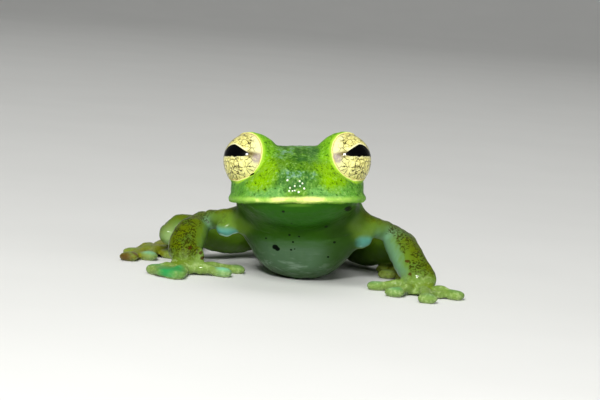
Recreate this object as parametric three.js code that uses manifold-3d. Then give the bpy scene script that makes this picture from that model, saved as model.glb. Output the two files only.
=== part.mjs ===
// A glass frog at life size, sitting with its belly, hands and feet on a flat floor.
// Millimetres, +Z up, the frog looks along -Y, and the origin is the middle of the belly's rest on the floor.
import * as THREE from "three";
import { LoftGeometry } from "three/addons/geometries/LoftGeometry.js";
import { mergeVertices } from "three/addons/utils/BufferGeometryUtils.js";
import Module from "manifold-3d";

const wasm = await Module();
wasm.setup();

// Driving sizes of the whole animal
const GAP = 0.3; // between two nodes that touch
const BODY_ROLL = 4.5; // degrees: the body leans, with its left side higher
const HEAD_PITCH = 5.5; // degrees: the snout is lifted
const SNOUT_Y = -11; // tip of the snout
const MOUTH_Z = 6.55; // height of the mouth line under the snout
const HEAD_SHIFT = -0.38; // the head is carried a little to its right
const EYE_RADIUS = 2.08;
const EYE_AT = new THREE.Vector3(3.33, 4.75, 3.12); // in the head's frame, left eye
const EYE_OUTWARD = 39; // degrees that the eye looks outward from straight ahead
const EYE_UPWARD = 17;
const LID_ANGLE = 58; // degrees from the eye's axis to the edge of its lids
const LID_SETBACK = 0.22; // the lids' edge lies this far behind that line, to leave the gap round the eye
const NOSTRIL_AT = new THREE.Vector3(1.42, 0.72, 2.32);
const NOSTRIL_BUMP = new THREE.Vector3(0.42, 0.42, 0.34);
const NOSTRIL_PIT = new THREE.Vector3(0.15, 0.26, 0.12);
const FACET_SLACK = 0.012; // how far a surface may shift when its slivers are merged

const deg = THREE.MathUtils.degToRad;
const vec = (x, y, z) => new THREE.Vector3(x, y, z);
const UPWARD = vec(0, 0, 1);

// The body's frame and the head's frame, both as matrices to the floor's frame
const bodyFrame = new THREE.Matrix4().makeRotationY(-deg(BODY_ROLL));
const headFrame = bodyFrame
  .clone()
  .multiply(new THREE.Matrix4().makeTranslation(HEAD_SHIFT, SNOUT_Y, MOUTH_Z))
  .multiply(new THREE.Matrix4().makeRotationX(-deg(HEAD_PITCH)));

// Catmull-Rom value between the rows of a table, at row number u
function between(rows, u) {
  const i = Math.min(Math.floor(u), rows.length - 2);
  const f = u - i;
  const row = (k) => rows[THREE.MathUtils.clamp(k, 0, rows.length - 1)];
  return rows[0].map((_, c) => {
    const [a, b, d, e] = [row(i - 1)[c], row(i)[c], row(i + 1)[c], row(i + 2)[c]];
    const bend = (2 * a - 5 * b + 4 * d - e) * f + (3 * b - a - 3 * d + e) * f * f;
    return b + 0.5 * f * (d - a + bend);
  });
}

// A geometry as a solid for joining and cutting
function solid(geometry, matrix) {
  const bare = new THREE.BufferGeometry().copy(geometry);
  bare.deleteAttribute("normal");
  bare.deleteAttribute("uv");
  if (matrix) bare.applyMatrix4(matrix);
  const merged = mergeVertices(bare, 1e-4);
  const made = new wasm.Manifold(
    new wasm.Mesh({
      numProp: 3,
      vertProperties: merged.attributes.position.array,
      triVerts: new Uint32Array(merged.index.array),
    }),
  );
  if (made.volume() <= 0) throw new Error("a shape is inside out");
  return made;
}

function geometryOf(shape) {
  const { vertProperties, triVerts } = shape.getMesh();
  const geometry = new THREE.BufferGeometry();
  geometry.setAttribute("position", new THREE.BufferAttribute(vertProperties, 3));
  geometry.setIndex(new THREE.BufferAttribute(triVerts, 1));
  geometry.computeVertexNormals();
  return geometry;
}

const join = (...shapes) => shapes.reduce((sum, shape) => sum.add(shape));

// The largest closed surface of a shape, without the slivers that cutting leaves
function largest(shape) {
  const pieces = shape.simplify(FACET_SLACK).decompose();
  return pieces.sort((a, b) => b.volume() - a.volume())[0];
}

function ellipsoid(centre, radii, matrix, segments = 20) {
  const ball = new THREE.SphereGeometry(1, segments, Math.round(segments * 0.6));
  ball.rotateX(Math.PI / 2);
  ball.scale(radii.x, radii.y, radii.z);
  ball.translate(centre.x, centre.y, centre.z);
  return solid(ball, matrix);
}

// Signed power, for sections between an ellipse and a rounded box
const squared = (value, power) => Math.sign(value) * Math.abs(value) ** (2 / power);

// Everything above a height of the floor's frame
function aboveFloor(shape, height = 0) {
  return shape.trimByPlane([0, 0, 1], height);
}

// Head and lower jaw: level outlines stacked upward, each height, half width, front, where it is widest,
// and squareness of its front
const HEAD_BACK = 10.6;
const SKULL_LEVELS = [
  [-0.1, 4.72, 0.26, 5.6, 2.4],
  [0.06, 4.9, 0.06, 5.6, 2.4],
  [0.28, 5.03, -0.05, 5.6, 2.4],
  [0.5, 5.02, 0.0, 5.7, 2.35],
  [0.74, 4.93, 0.14, 5.8, 2.3],
  [1.3, 5.0, 0.16, 6.2, 2.2],
  [1.8, 4.84, 0.26, 6.9, 2.1],
  [2.3, 4.35, 0.52, 7.5, 2.0],
  [2.8, 4.0, 0.95, 7.8, 1.95],
  [3.3, 3.6, 1.75, 8.0, 1.95],
  [3.75, 3.0, 3.0, 8.0, 2.0],
  [4.1, 2.3, 4.4, 8.0, 2.1],
  [4.25, 1.5, 5.8, 8.0, 2.1],
];
const JAW_LEVELS = [
  [-1.85, 1.2, 3.9, 6.2, 2.0],
  [-1.6, 2.5, 2.8, 6.0, 2.1],
  [-1.15, 3.55, 1.75, 5.8, 2.2],
  [-0.75, 4.12, 1.05, 5.7, 2.35],
  [-0.35, 4.42, 0.62, 5.6, 2.4],
  [0.1, 4.55, 0.45, 5.6, 2.4],
];

function stackedLevels(levels, grow, rings, sides = 34) {
  const sections = [];
  for (let k = 0; k <= rings; k++) {
    const [z, half, front, middle, power] = between(levels, (k / rings) * (levels.length - 1));
    const lift = grow * (k === 0 ? -1 : k === rings ? 1 : 0);
    const points = [];
    for (let s = 0; s < sides; s++) {
      const turn = (s / sides) * 2 * Math.PI;
      const ahead = Math.sin(turn) < 0;
      const reach = ahead ? middle - front : HEAD_BACK - middle;
      const shape = ahead ? power : 2.6;
      const x = (half + grow) * squared(Math.cos(turn), shape);
      const y = middle + (reach + grow) * squared(Math.sin(turn), shape);
      points.push(vec(x, y, z + lift));
    }
    sections.push(points);
  }
  return solid(new LoftGeometry(sections, { capStart: true, capEnd: true }), headFrame);
}

// Trunk: upright sections from chest to vent, each at y, with half width, lowest and highest z
const TRUNK_STATIONS = [
  [-5.9, 0.5, 2.0, 3.2],
  [-5.6, 2.1, 1.0, 4.6],
  [-4.8, 3.3, 0.25, 6.6],
  [-3.6, 4.25, -0.15, 9.1],
  [-2.0, 4.5, -0.32, 9.7],
  [0.5, 4.55, -0.32, 9.5],
  [3.5, 4.45, -0.25, 8.95],
  [6.5, 4.1, 0.05, 8.05],
  [9.5, 3.4, 0.8, 6.95],
  [12.2, 2.6, 1.6, 5.6],
  [14.2, 1.65, 2.2, 4.5],
  [15.0, 0.5, 2.8, 3.7],
];
const WIDEST_SHARE = 0.5; // of the way from belly to back

function trunk(grow, rings = 19, sides = 26) {
  const sections = [];
  for (let k = 0; k <= rings; k++) {
    const row = (k / rings) * (TRUNK_STATIONS.length - 1);
    const [y, half, low, high] = between(TRUNK_STATIONS, row);
    const middle = low + WIDEST_SHARE * (high - low);
    const push = grow * (k === 0 ? -1 : k === rings ? 1 : 0);
    const points = [];
    for (let s = 0; s < sides; s++) {
      const turn = -(s / sides) * 2 * Math.PI;
      const reach = (Math.sin(turn) > 0 ? high - middle : middle - low) + grow;
      const x = (half + grow) * squared(Math.cos(turn), 2.1);
      points.push(vec(x, y + push, middle + reach * squared(Math.sin(turn), 2.1)));
    }
    sections.push(points);
  }
  return solid(new LoftGeometry(sections, { capStart: true, capEnd: true }), bodyFrame);
}

// A limb or digit: round-ended sections along a smooth path, each half width and half height
function limb(path, sizes, { grow = 0, sides = 12, rings = 12 } = {}) {
  const curve = new THREE.CatmullRomCurve3(path, false, "centripetal");
  const sections = [];
  const addRing = (u, turn, end) => {
    const at = curve.getPointAt(u);
    const along = curve.getTangentAt(u);
    const side = UPWARD.clone().cross(along).normalize();
    const up = along.clone().cross(side);
    const [wide, high] = between(sizes, u * (sizes.length - 1)).map((v) => v + grow);
    at.addScaledVector(along, end * Math.min(wide, high) * Math.sin(turn));
    const points = [];
    for (let s = 0; s < sides; s++) {
      const angle = (s / sides) * 2 * Math.PI;
      points.push(
        at
          .clone()
          .addScaledVector(side, wide * Math.cos(turn) * Math.cos(angle))
          .addScaledVector(up, high * Math.cos(turn) * Math.sin(angle)),
      );
    }
    sections.push(points);
  };
  const capTurns = [deg(74), deg(50), deg(25)];
  capTurns.forEach((turn) => addRing(0, turn, -1));
  for (let k = 0; k <= rings; k++) addRing(k / rings, 0, 0);
  capTurns.reverse().forEach((turn) => addRing(1, turn, 1));
  return solid(new LoftGeometry(sections, { capStart: true, capEnd: true }));
}

// Eyes
function eyeAxis(side) {
  const out = deg(EYE_OUTWARD);
  const up = deg(EYE_UPWARD);
  return vec(side * Math.sin(out) * Math.cos(up), -Math.cos(out) * Math.cos(up), Math.sin(up));
}

function eyeParts(side) {
  const centre = vec(side * EYE_AT.x, EYE_AT.y, EYE_AT.z);
  const axis = eyeAxis(side);
  const lidDistance = EYE_RADIUS * Math.cos(deg(LID_ANGLE));
  const worldAxis = axis.clone().transformDirection(headFrame);
  const worldCentre = centre.clone().applyMatrix4(headFrame);
  const cap = (radius, distance) =>
    ellipsoid(centre, vec(radius, radius, radius), headFrame, 20).trimByPlane(
      worldAxis.toArray(),
      worldAxis.dot(worldCentre) + distance,
    );
  const inward = (x, y, z) => centre.clone().add(vec(-side * x, y, z));
  const dome = ellipsoid(inward(0.1, 0.15, 0.0), vec(2.05, 2.1, 2.07), headFrame, 24);
  const brow = ellipsoid(inward(0.3, 1.4, -0.25), vec(2.0, 2.5, 2.1), headFrame, 20);
  const rim = new THREE.TorusGeometry(EYE_RADIUS * Math.sin(deg(LID_ANGLE)) + 0.14, 0.15, 5, 22);
  rim.applyQuaternion(new THREE.Quaternion().setFromUnitVectors(vec(0, 0, 1), axis));
  const rimAt = centre.clone().addScaledVector(axis, lidDistance - LID_SETBACK - 0.13);
  rim.translate(rimAt.x, rimAt.y, rimAt.z);
  return {
    ball: cap(EYE_RADIUS, lidDistance - LID_SETBACK + GAP),
    socket: cap(EYE_RADIUS + GAP, lidDistance - LID_SETBACK),
    lids: join(dome, brow, solid(rim, headFrame)),
  };
}

// The cut from nape to chest that parts the head and jaw from the trunk, and the cut along the mouth
const NAPE = vec(0, -2.5, 9.7).applyMatrix4(bodyFrame);
const BREAST = vec(0, -5.6, 3.35).applyMatrix4(bodyFrame);
const MOUTH_POINT = vec(0, 0, 0).applyMatrix4(headFrame);

function planeThrough(point, normal) {
  return [normal.toArray(), normal.dot(point)];
}

function partHeadAndTrunk(whole, body) {
  const slope = NAPE.clone().sub(BREAST).normalize();
  const across = vec(1, 0, 0).transformDirection(bodyFrame);
  const backward = slope.clone().cross(across).normalize();
  if (backward.y < 0) backward.negate();
  const [back, offset] = planeThrough(BREAST, backward);
  const forward = back.map((v) => -v);
  const up = vec(0, 0, 1).transformDirection(headFrame);
  const [lift, level] = planeThrough(MOUTH_POINT, up);
  const front = whole.trimByPlane(forward, -(offset - GAP / 2));
  return {
    torso: body.trimByPlane(back, offset + GAP / 2),
    head: front.trimByPlane(lift, level),
    lower_jaw: front.trimByPlane(
      lift.map((v) => -v),
      -(level - GAP),
    ),
  };
}

// Nostrils as low bumps with a pit, and the eardrum as a low round plate with a ring
function nostrilBump(side) {
  const at = vec(side * NOSTRIL_AT.x, NOSTRIL_AT.y + 0.2, NOSTRIL_AT.z - 0.08);
  return ellipsoid(at, NOSTRIL_BUMP, headFrame, 10);
}

function nostrilPit(side) {
  const at = vec(side * (NOSTRIL_AT.x + 0.1), NOSTRIL_AT.y - 0.2, NOSTRIL_AT.z + 0.02);
  return ellipsoid(at, NOSTRIL_PIT, headFrame, 10);
}

const EARDRUM_AT = vec(4.28, 7.15, 2.15);
const EARDRUM_RADIUS = 0.52;

function eardrum(side) {
  const at = vec(side * EARDRUM_AT.x, EARDRUM_AT.y, EARDRUM_AT.z);
  const ring = new THREE.TorusGeometry(EARDRUM_RADIUS, 0.13, 5, 14);
  ring.rotateY(Math.PI / 2).rotateZ(side * deg(14));
  ring.translate(at.x, at.y, at.z);
  return solid(ring, headFrame);
}

// Fore limbs, from the floor's frame: side -1 is the frog's right, on the left in a front view
const ARMS = {
  right: {
    upper: [vec(-3.2, -3.6, 4.35), vec(-5.7, -3.0, 4.12), vec(-7.7, -1.0, 3.65)],
    fore: [vec(-8.0, -0.9, 3.5), vec(-8.85, -3.2, 2.5), vec(-9.0, -5.0, 1.1)],
    palm: [vec(-8.95, -4.9, 0.68), vec(-8.95, -6.2, 0.42)],
    spine: vec(-6.15, -3.3, 3.45),
    digits: [
      { knuckle: vec(-7.95, -5.0, 0.42), tip: vec(-4.9, -2.9, 0.28) },
      { knuckle: vec(-8.1, -5.9, 0.42), tip: vec(-5.75, -5.6, 0.28) },
      { knuckle: vec(-8.95, -6.7, 0.42), tip: vec(-9.45, -9.0, 0.28) },
      { knuckle: vec(-9.7, -6.2, 0.42), tip: vec(-11.2, -7.1, 0.28) },
    ],
  },
  left: {
    upper: [vec(2.9, -3.5, 4.5), vec(4.9, -3.2, 4.33), vec(6.4, -1.7, 3.88)],
    fore: [vec(6.65, -1.75, 3.68), vec(7.75, -4.0, 2.62), vec(8.45, -6.2, 1.05)],
    palm: [vec(8.6, -6.1, 0.68), vec(8.85, -7.4, 0.42)],
    spine: vec(4.45, -3.6, 3.45),
    digits: [
      { knuckle: vec(7.95, -6.3, 0.42), tip: vec(5.2, -6.3, 0.28) },
      { knuckle: vec(8.25, -7.3, 0.42), tip: vec(6.6, -9.3, 0.28) },
      { knuckle: vec(9.0, -7.9, 0.42), tip: vec(9.1, -11.4, 0.28) },
      { knuckle: vec(9.75, -7.3, 0.42), tip: vec(11.5, -8.4, 0.28) },
    ],
  },
};
const UPPER_ARM = [[1.3, 1.2], [0.98, 0.9], [0.74, 0.72], [0.8, 0.78]];
const FOREARM = [[0.82, 0.82], [1.1, 1.0], [1.15, 1.0], [0.98, 0.78]];
const PALM = [[0.95, 0.6], [1.2, 0.52], [1.05, 0.42]];

// Half width and half height along a finger or toe, from knuckle to the round end of its disc
const DIGIT = [
  [0.46, 0.44],
  [0.4, 0.4],
  [0.44, 0.42],
  [0.37, 0.36],
  [0.42, 0.36],
  [0.6, 0.37],
  [0.68, 0.34],
];
const DIGIT_ARCH = 0.16; // how far the middle joint is lifted

function digitPath({ knuckle, tip }) {
  const arch = vec(0, 0, DIGIT_ARCH);
  return [
    knuckle.clone(),
    knuckle.clone().lerp(tip, 0.38).add(arch),
    knuckle.clone().lerp(tip, 0.72),
    tip.clone(),
  ];
}

// The web from one digit to the next, a thin plate that reaches a share of their lengths
const WEB_LOW = 0.06;
const WEB_HIGH = 0.56;
const WEB_SAG = 0.22; // how far its free edge hangs back between the digits, as a share of its length

function webPlate(own, next, share) {
  const flat = (v) => new THREE.Vector2(v.x, v.y);
  const ownEnd = flat(own.knuckle.clone().lerp(own.tip, share));
  const nextEnd = flat(next.knuckle.clone().lerp(next.tip, share));
  const heel = flat(own.knuckle).lerp(flat(next.knuckle), 0.5);
  const sag = ownEnd.clone().lerp(nextEnd, 0.5).lerp(heel, WEB_SAG);
  const corners = [flat(own.knuckle), ownEnd, sag, nextEnd, flat(next.knuckle)];
  const plate = new THREE.ExtrudeGeometry(new THREE.Shape(corners), {
    depth: WEB_HIGH - WEB_LOW,
    bevelEnabled: false,
  });
  plate.translate(0, 0, WEB_LOW);
  return solid(plate);
}

function digitsOf(limbName, digits, palm, webs, thickness = 1) {
  const made = {};
  const bar = (digit, grow) => {
    const sizes = DIGIT.map(([wide, high]) => [wide * thickness + grow, high * thickness + grow]);
    return limb(digitPath(digit), sizes, { sides: 8, rings: 8 });
  };
  digits.forEach((digit, i) => {
    let whole = bar(digit, 0);
    const next = digits[i + 1];
    if (next) whole = whole.add(webPlate(digit, next, webs[i])).subtract(bar(next, GAP));
    if (i > 0) whole = whole.subtract(webPlate(digits[i - 1], digit, webs[i - 1]).subtract(bar(digit, 0)));
    made[`${limbName}_${i + 1}`] = largest(aboveFloor(whole.subtract(palm)));
  });
  return made;
}

// Hind limbs
const LEGS = {
  right: {
    thigh: [vec(-2.3, 11.6, 2.8), vec(-5.75, 6.1, 1.6), vec(-9.75, 2.2, 2.6)],
    shank: [vec(-10.5, 1.75, 2.0), vec(-9.6, 7.2, 1.95), vec(-7.2, 14.1, 1.05)],
    tarsus: [vec(-7.6, 14.2, 0.66), vec(-10.0, 12.2, 0.58), vec(-10.7, 9.4, 0.52)],
    sole: [vec(-10.75, 9.2, 0.44), vec(-11.0, 7.4, 0.42), vec(-11.25, 5.6, 0.38)],
    digits: [
      { knuckle: vec(-10.2, 6.7, 0.4), tip: vec(-9.2, 5.1, 0.28) },
      { knuckle: vec(-10.7, 5.4, 0.4), tip: vec(-10.5, 2.4, 0.28) },
      { knuckle: vec(-11.2, 4.8, 0.4), tip: vec(-12.1, 0.3, 0.28) },
      { knuckle: vec(-11.7, 5.0, 0.4), tip: vec(-13.55, -0.9, 0.28) },
      { knuckle: vec(-12.0, 5.7, 0.4), tip: vec(-13.35, 1.7, 0.28) },
    ],
  },
  left: {
    thigh: [vec(2.2, 11.6, 2.9), vec(4.6, 6.5, 1.45), vec(7.0, 2.3, 2.45)],
    shank: [vec(7.75, 2.1, 2.0), vec(7.75, 7.4, 1.95), vec(6.2, 14.4, 1.05)],
    tarsus: [vec(6.1, 14.5, 0.66), vec(8.3, 12.7, 0.58), vec(8.55, 9.9, 0.52)],
    sole: [vec(8.5, 9.7, 0.44), vec(8.35, 8.0, 0.42), vec(8.0, 6.2, 0.38)],
    digits: [
      { knuckle: vec(7.5, 7.2, 0.4), tip: vec(6.85, 5.3, 0.28) },
      { knuckle: vec(7.45, 6.0, 0.4), tip: vec(6.4, 3.2, 0.28) },
      { knuckle: vec(7.75, 5.4, 0.4), tip: vec(6.35, 0.6, 0.28) },
      { knuckle: vec(8.25, 5.4, 0.4), tip: vec(7.7, -0.9, 0.28) },
      { knuckle: vec(8.7, 6.1, 0.4), tip: vec(8.7, 1.9, 0.28) },
    ],
  },
};
const THIGH = [[1.5, 1.45], [1.5, 1.4], [1.3, 1.3], [1.05, 1.05]];
const SHANK = [[0.9, 0.9], [1.1, 1.08], [1.0, 0.98], [0.72, 0.72]];
const TARSUS = [[0.7, 0.68], [0.64, 0.62], [0.72, 0.56]];
const SOLE = [[0.72, 0.5], [0.95, 0.46], [1.0, 0.4]];
const FINGER_WEBS = [0.22, 0.28, 0.75];
const TOE_WEBS = [0.5, 0.55, 0.55, 0.55];

// Build the whole trunk with head and jaw, then part it
const sides = { right: -1, left: 1 };
const eyes = Object.fromEntries(Object.entries(sides).map(([name, side]) => [name, eyeParts(side)]));
const skull = stackedLevels(SKULL_LEVELS, 0, 20);
const jaw = stackedLevels(JAW_LEVELS, 0, 9);
const bothSides = (make) => join(make(-1), make(1));
let whole = join(skull, jaw, trunk(0), eyes.right.lids, eyes.left.lids);
whole = whole.add(bothSides(nostrilBump)).add(bothSides(eardrum));
whole = whole.subtract(bothSides(nostrilPit)).subtract(eyes.right.socket).subtract(eyes.left.socket);
const parted = partHeadAndTrunk(whole, aboveFloor(trunk(0)));
const bodyGrown = join(
  trunk(GAP),
  stackedLevels(JAW_LEVELS, GAP, 9),
  stackedLevels(SKULL_LEVELS, GAP, 20),
);

const shapes = {
  head: largest(parted.head),
  lower_jaw: largest(parted.lower_jaw),
  torso: largest(parted.torso),
  eye_right: eyes.right.ball,
  eye_left: eyes.left.ball,
};

for (const side of ["right", "left"]) {
  const arm = ARMS[side];
  const upper = limb(arm.upper, UPPER_ARM, { rings: 9 });
  const spine = ellipsoid(arm.spine, vec(0.5, 0.42, 0.62), undefined, 14);
  const forearm = (grow) => limb(arm.fore, FOREARM, { grow, rings: 9 });
  const palm = (grow) => limb(arm.palm, PALM, { grow, rings: 5 });
  shapes[`upper_arm_${side}`] = largest(upper.add(spine).subtract(bodyGrown).subtract(forearm(GAP)));
  shapes[`forearm_${side}`] = largest(aboveFloor(forearm(0).subtract(palm(GAP))));
  shapes[`palm_${side}`] = largest(aboveFloor(palm(0)));
  Object.assign(shapes, digitsOf(`finger_${side}`, arm.digits, palm(GAP), FINGER_WEBS));

  const leg = LEGS[side];
  const thigh = (grow) => limb(leg.thigh, THIGH, { grow, rings: 10 });
  const shank = (grow) => limb(leg.shank, SHANK, { grow, rings: 10 });
  const tarsus = (grow) => limb(leg.tarsus, TARSUS, { grow, rings: 8 });
  const sole = (grow) => limb(leg.sole, SOLE, { grow, rings: 5 });
  shapes[`thigh_${side}`] = largest(aboveFloor(thigh(0).subtract(bodyGrown)));
  shapes[`shank_${side}`] = largest(aboveFloor(shank(0).subtract(thigh(GAP))));
  shapes[`tarsus_${side}`] = largest(aboveFloor(tarsus(0).subtract(shank(GAP)).subtract(sole(GAP))));
  shapes[`sole_${side}`] = largest(aboveFloor(sole(0).subtract(shank(GAP))));
  Object.assign(shapes, digitsOf(`toe_${side}`, leg.digits, sole(GAP), TOE_WEBS, 0.94));
}

const SKIN_COLOURS = {
  head: 0x6fae2c,
  lower_jaw: 0x7fae5c,
  torso: 0x79aa58,
  eye: 0xe6dd92,
  limb: 0x93aa35,
  digit: 0x9cc36a,
};

function materialFor(name) {
  const isDigit = /^(finger|toe|palm|sole)/.test(name);
  const kind = name.startsWith("eye") ? "eye" : isDigit ? "digit" : SKIN_COLOURS[name] ? name : "limb";
  const roughness = kind === "eye" ? 0.1 : 0.35;
  return new THREE.MeshStandardMaterial({ color: SKIN_COLOURS[kind], roughness, metalness: 0 });
}

const frog = new THREE.Group();
for (const [name, shape] of Object.entries(shapes)) {
  const mesh = new THREE.Mesh(geometryOf(shape), materialFor(name));
  mesh.name = name;
  frog.add(mesh);
}

export default frog;
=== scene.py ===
import math

import bpy
import numpy as np
import openvdb
from mathutils import Matrix, Vector
from mathutils.bvhtree import BVHTree


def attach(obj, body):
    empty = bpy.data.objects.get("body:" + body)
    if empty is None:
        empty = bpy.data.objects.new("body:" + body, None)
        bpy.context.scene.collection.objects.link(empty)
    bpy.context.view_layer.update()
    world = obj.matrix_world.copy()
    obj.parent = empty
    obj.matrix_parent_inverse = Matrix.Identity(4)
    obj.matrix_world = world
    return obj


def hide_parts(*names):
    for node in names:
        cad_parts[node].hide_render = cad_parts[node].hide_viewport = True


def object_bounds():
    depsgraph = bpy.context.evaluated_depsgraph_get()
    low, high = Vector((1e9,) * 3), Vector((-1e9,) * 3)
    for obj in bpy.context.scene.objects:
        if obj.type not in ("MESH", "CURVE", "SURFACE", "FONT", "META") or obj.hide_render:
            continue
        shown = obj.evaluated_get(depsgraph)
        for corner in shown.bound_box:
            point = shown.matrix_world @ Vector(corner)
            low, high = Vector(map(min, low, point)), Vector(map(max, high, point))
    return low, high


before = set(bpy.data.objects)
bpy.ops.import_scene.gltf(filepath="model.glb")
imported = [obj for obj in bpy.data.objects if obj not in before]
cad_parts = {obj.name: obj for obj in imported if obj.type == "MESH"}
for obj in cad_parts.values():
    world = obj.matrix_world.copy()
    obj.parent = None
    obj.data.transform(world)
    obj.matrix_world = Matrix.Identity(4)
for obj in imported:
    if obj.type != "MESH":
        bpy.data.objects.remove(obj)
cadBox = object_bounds()
mm = 0.001

# the stance, as in the part: degrees, and millimetres from the belly's rest
stance = {
    "bodyRoll": 4.5,  # its left side is higher
    "headPitch": 5.5,  # its snout is lifted
    "snoutTip": (-0.38, -11.0, 6.55),
}
bodyFrame = Matrix.Rotation(-math.radians(stance["bodyRoll"]), 4, "Y")
headFrame = (
    bodyFrame
    @ Matrix.Translation(stance["snoutTip"])
    @ Matrix.Rotation(-math.radians(stance["headPitch"]), 4, "X")
)
headTurn = np.array(headFrame.to_3x3())
headOrigin = np.array(headFrame.translation)
bodyTurn = np.array(bodyFrame.to_3x3())

sides = {"right": -1, "left": 1}


# Small helpers on arrays


def smoothStep(low, high, value):
    share = np.clip((value - low) / (high - low), 0, 1)
    return share * share * (3 - 2 * share)


def softMin(a, b, radius):
    # the lower of two distances, with a fillet of about that radius where they meet
    share = np.clip(0.5 + 0.5 * (b - a) / radius, 0, 1)
    return b + (a - b) * share - radius * share * (1 - share)


def bell(value, width):
    return np.exp(-((value / width) ** 2))


def lengthOf(rows):
    return np.linalg.norm(rows, axis=-1)


def toHead(points):
    # across to the frog's left, back from the snout's tip, and up from the mouth's line
    return (points - headOrigin) @ headTurn


def fromHead(points):
    return np.asarray(points) @ headTurn.T + headOrigin


# Distances to a surface on a regular grid, below zero inside


class Field:
    def __init__(self, low, high, step):
        self.step = step
        self.first = np.floor(low / step).astype(int)
        self.size = np.ceil(high / step).astype(int) - self.first + 1
        self.corner = tuple(int(i) for i in self.first)
        self.transform = openvdb.createLinearTransform(voxelSize=step)
        self.values = None

    def measured(self, points, reach, **faces):
        # distances to a closed surface, true out to reach
        found = openvdb.FloatGrid.createLevelSetFromPolygons(
            points.astype(np.float32),
            transform=self.transform,
            halfWidth=reach / self.step,
            **{kind: np.ascontiguousarray(rows, dtype=np.uint32) for kind, rows in faces.items()},
        )
        values = np.empty(tuple(self.size), np.float32)
        found.copyToArray(values, ijk=self.corner)
        return values

    def surface(self, level=0.0):
        # points and four-sided faces where the distance has that value
        grid = openvdb.FloatGrid(background=float(self.values.max()))
        grid.copyFromArray(self.values, ijk=self.corner)
        grid.transform = self.transform
        return grid.convertToQuads(isovalue=level)

    def box(self, low, high):
        # the samples between two corners, and where they are
        ends = np.floor(np.asarray(low) / self.step), np.ceil(np.asarray(high) / self.step) + 1
        ends = np.array([np.clip(end.astype(int) - self.first, 0, self.size) for end in ends])
        rows = [np.arange(*row) * self.step for row in (ends + self.first).T]
        return tuple(slice(*row) for row in ends.T), np.stack(np.meshgrid(*rows, indexing="ij"), axis=-1)

    def sample(self, values, points):
        # trilinear reading at any points
        at = np.clip(points / self.step - self.first, 0, self.size - 1.001)
        base = at.astype(int)
        share = at - base
        total = np.zeros(len(points))
        for corner in np.ndindex(2, 2, 2):
            weight = np.prod(np.where(corner, share, 1 - share), axis=1)
            total += weight * values[tuple((base + corner).T)]
        return total


def blurred(values, width):
    # the same grid averaged with a bell of that width, in samples
    reach = max(1, math.ceil(2.6 * width))
    taps = np.exp(-0.5 * (np.arange(-reach, reach + 1) / width) ** 2)
    taps /= taps.sum()
    for axis in range(3):
        result = taps[reach] * values
        for k in range(1, reach + 1):
            result += taps[reach + k] * (np.roll(values, k, axis) + np.roll(values, -k, axis))
        values = result
    return values


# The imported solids, by the regions that the skin tells apart

digitCounts = {"finger": 4, "toe": 5}
limbNodes = {
    "upperArm": "upper_arm",
    "foreArm": "forearm",
    "hand": "palm",
    "finger": "finger",
    "thigh": "thigh",
    "shank": "shank",
    "tarsus": "tarsus",
    "foot": "sole",
    "toe": "toe",
}
regions = {"head": ["head"], "jaw": ["lower_jaw"], "torso": ["torso"]}
for region, node in limbNodes.items():
    ends = [f"_{k + 1}" for k in range(digitCounts.get(region, 0))] or [""]
    regions[region] = [f"{node}_{side}{end}" for side in sides for end in ends]
digitNodes = regions["finger"] + regions["toe"]


def solidSurface(name):
    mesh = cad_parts[name].data
    points = np.empty(len(mesh.vertices) * 3, np.float32)
    mesh.vertices.foreach_get("co", points)
    mesh.calc_loop_triangles()
    corners = np.empty(len(mesh.loop_triangles) * 3, np.int32)
    mesh.loop_triangles.foreach_get("vertices", corners)
    return points.reshape(-1, 3) / mm, corners.reshape(-1, 3)


# The skin's build, in millimetres
skinBuild = {
    "step": 0.1,  # between two samples
    "margin": 1.2,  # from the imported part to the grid's edge
    "reach": 1.3,  # how far from a solid its distance is known
    "closing": 0.19,  # a little over half the gap between two solids
    "throatFillet": 0.95,  # where head and throat meet the trunk
    "armFillet": 1.25,  # and where the upper arms do
    "trunkBlur": 0.5,  # how softly each part is rounded
    "bodyBlur": 0.24,
    "limbBlur": 0.13,
    "digitBlur": 0.07,
    "trunkChange": (0.15, 0.85),  # the distances over which one rounding becomes the next
    "limbChange": (0.0, 0.8),
    "digitChange": (-0.1, 0.5),
    "lipChange": (0.3, 0.9),
    "regionChange": 0.16,  # and over which one region's colours fade into the next
    "wristChange": (-0.2, 0.8),  # wider at wrist and ankle
    "triangles": 190000,  # in the finished skin, about
}
eyeShape = {
    "radius": 2.12,
    "place": (3.39, 4.75, 3.11),  # left eye, in the head's frame
    "outward": 39.0,  # degrees that it looks out from straight ahead
    "upward": 17.0,
    "lidAngle": 58.0,  # degrees from its axis to the edge of the lids
    "lidOpen": 9.0,  # how much farther that is on the outer side
    "lidThickness": 0.07,
    "lidSink": 0.03,  # how far below the eye's surface the outer lids are
    "lidRoot": 0.08,  # and how far below it they begin
    "lidFillet": 0.16,
    "rim": 0.07,
    "rimPlace": (0.035, -0.02),  # outward and forward from the edge of the lids
    "clearance": 0.3,  # cut free in front of the eye
    "backing": 0.16,  # how far below the eye's surface the skin closes behind it
    "box": 3.0,  # half size of the box in which all this is shaped
}
mouth = {"rise": 0.03, "groove": 0.13, "width": 0.085, "back": 8.6, "fade": 1.2}
upperLip = {"height": 0.3, "width": 0.26, "bulge": 0.05, "sideBulge": 0.09}
nostril = {"place": (1.42, 0.62, 2.33), "bump": 0.1, "bumpWidth": 0.34, "pit": 0.2, "pitWidth": 0.14}


def eyeAxis(side):
    out = math.radians(eyeShape["outward"])
    up = math.radians(eyeShape["upward"])
    return np.array([side * math.sin(out) * math.cos(up), -math.cos(out) * math.cos(up), math.sin(up)])


def eyeCentre(side):
    return np.array(eyeShape["place"]) * (side, 1, 1)


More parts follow.
